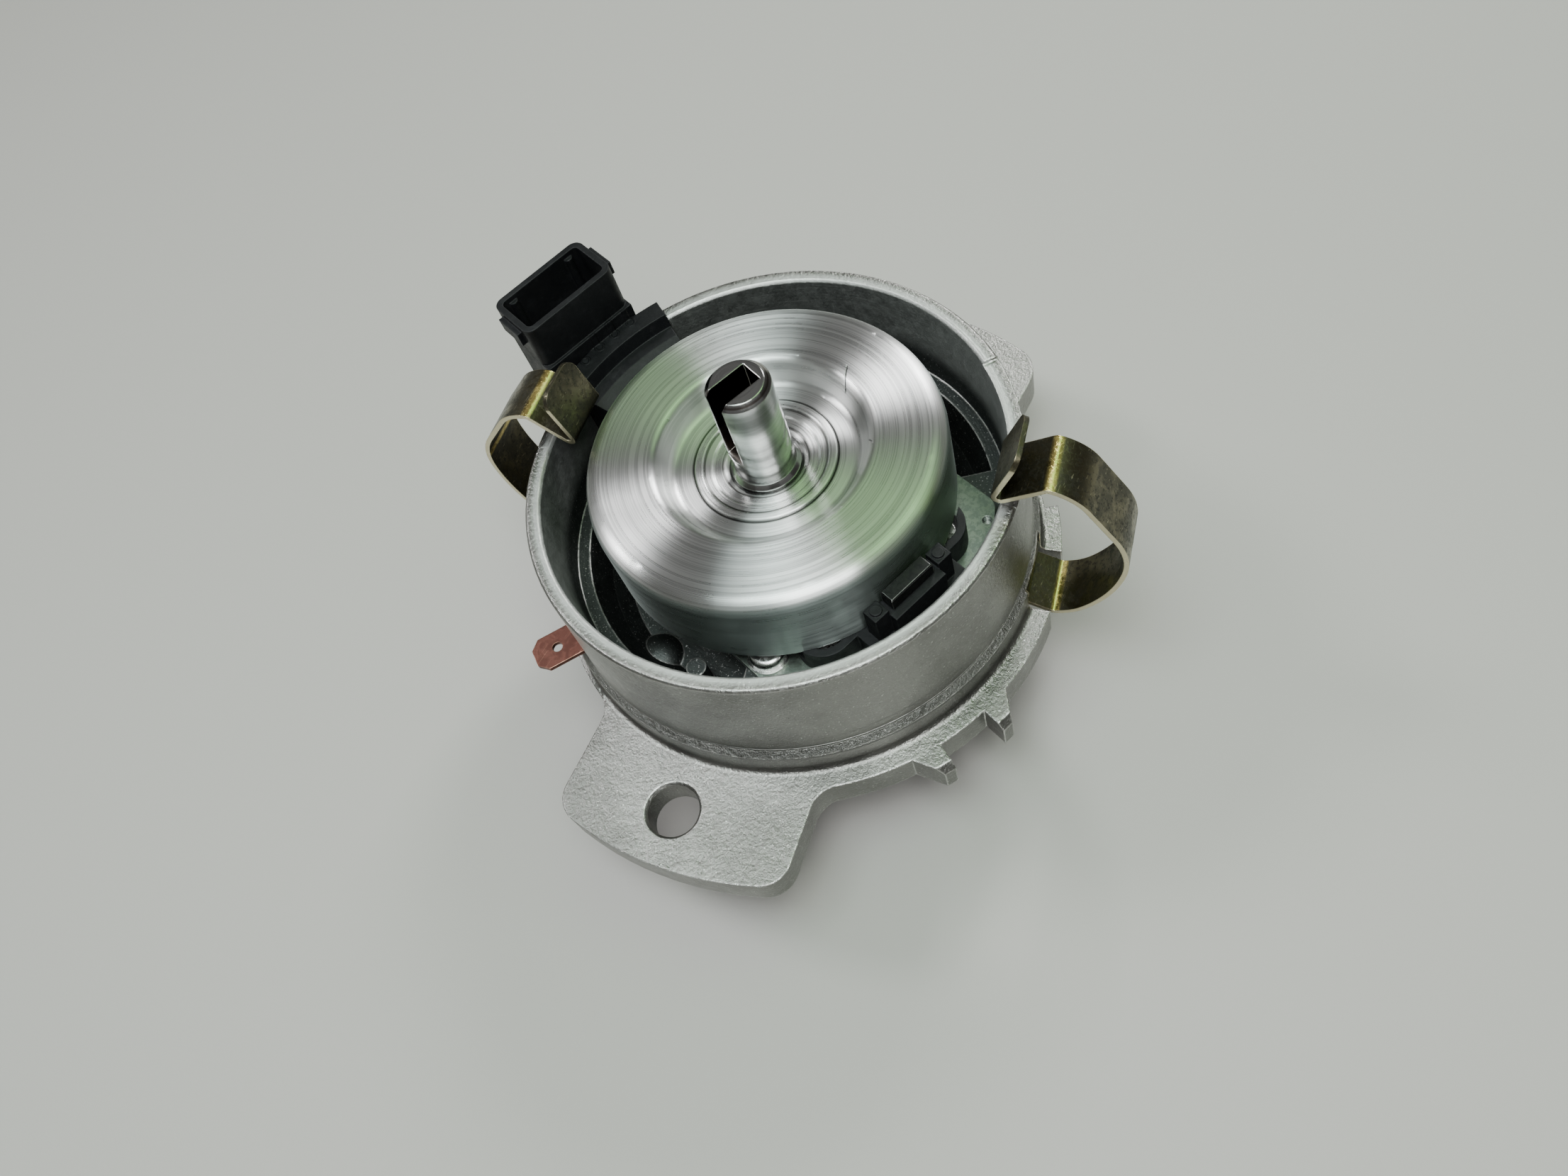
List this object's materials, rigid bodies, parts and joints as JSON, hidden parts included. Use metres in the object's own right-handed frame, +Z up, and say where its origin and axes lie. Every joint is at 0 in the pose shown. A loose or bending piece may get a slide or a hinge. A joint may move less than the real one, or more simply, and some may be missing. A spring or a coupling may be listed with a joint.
{
  "type": "ignition distributor",
  "caption": "Die-cast ignition distributor body with trigger cup, Hall sensor, plug socket and spring clips, cap off.",
  "frame": {"origin": "on the shaft's axis in the mounting face of the flange", "axes": "+Z up the drive shaft towards the rotor arm's seat, +X from the wide ear's hole to the narrow ear's hole"},
  "size_m": [0.1163, 0.1094, 0.0679],
  "materials": {
    "cast_alloy": "shot-blasted die casting",
    "seal_rubber": "matte",
    "sintered_bronze": "sintered, oiled",
    "plate_steel": "speckled zinc plate",
    "bright_steel": "bright",
    "ground_steel": "ground",
    "turned_steel": "turned",
    "drawn_steel": "turned after drawing",
    "coupling_steel": "oiled sintered steel",
    "black_moulding": "semi-matte",
    "magnet": "dark, fine grain",
    "chip_resin": "matte",
    "tinned_brass": "tinned",
    "copper_terminal": "tarnished copper-brown",
    "chromated_spring": "yellow chromate, worn at the bends"
  },
  "bodies": {
    "housing": {"housing": "cast_alloy", "spigot_o_ring": "seal_rubber", "lower_bush": "sintered_bronze", "upper_bush": "sintered_bronze", "shaft_seal": "seal_rubber", "sensor_plate": "plate_steel", "plate_screw": "bright_steel", "screw_washer": "bright_steel", "plate_dowel": "ground_steel", "hall_sensor": "black_moulding", "hall_magnet": "magnet", "hall_chip": "chip_resin", "sensor_rivets": "bright_steel", "lead_strip": "black_moulding", "connector_housing": "black_moulding", "connector_blades": "tinned_brass", "earth_terminal": "copper_terminal", "clip_pin_right": "ground_steel", "clip_pin_left": "ground_steel"},
    "rotor": {"drive_shaft": "ground_steel", "drive_coupling": "coupling_steel", "coupling_pin": "ground_steel", "coupling_ring": "bright_steel", "coupling_washer": "bright_steel", "hub_washer": "bright_steel", "cup_hub": "turned_steel", "trigger_cup": "drawn_steel"},
    "right_clip": {"clip_right": "chromated_spring"},
    "left_clip": {"clip_left": "chromated_spring"}
  },
  "joints": [
    {"name": "shaft_spin", "type": "hinge", "parent": "housing", "child": "rotor", "pos_m": [0, 0, 0], "axis": [0, 0, 1], "continuous": true},
    {"name": "right_clip_swing", "type": "hinge", "parent": "housing", "child": "right_clip", "pos_m": [0.01007, -0.03757, 0.0089], "axis": [0.9659, 0.2588, 0], "range_deg": [-12, 38]},
    {"name": "left_clip_swing", "type": "hinge", "parent": "housing", "child": "left_clip", "pos_m": [-0.00675, 0.03831, 0.0089], "axis": [-0.9848, -0.1736, 0], "range_deg": [-1, 49]}
  ]
}
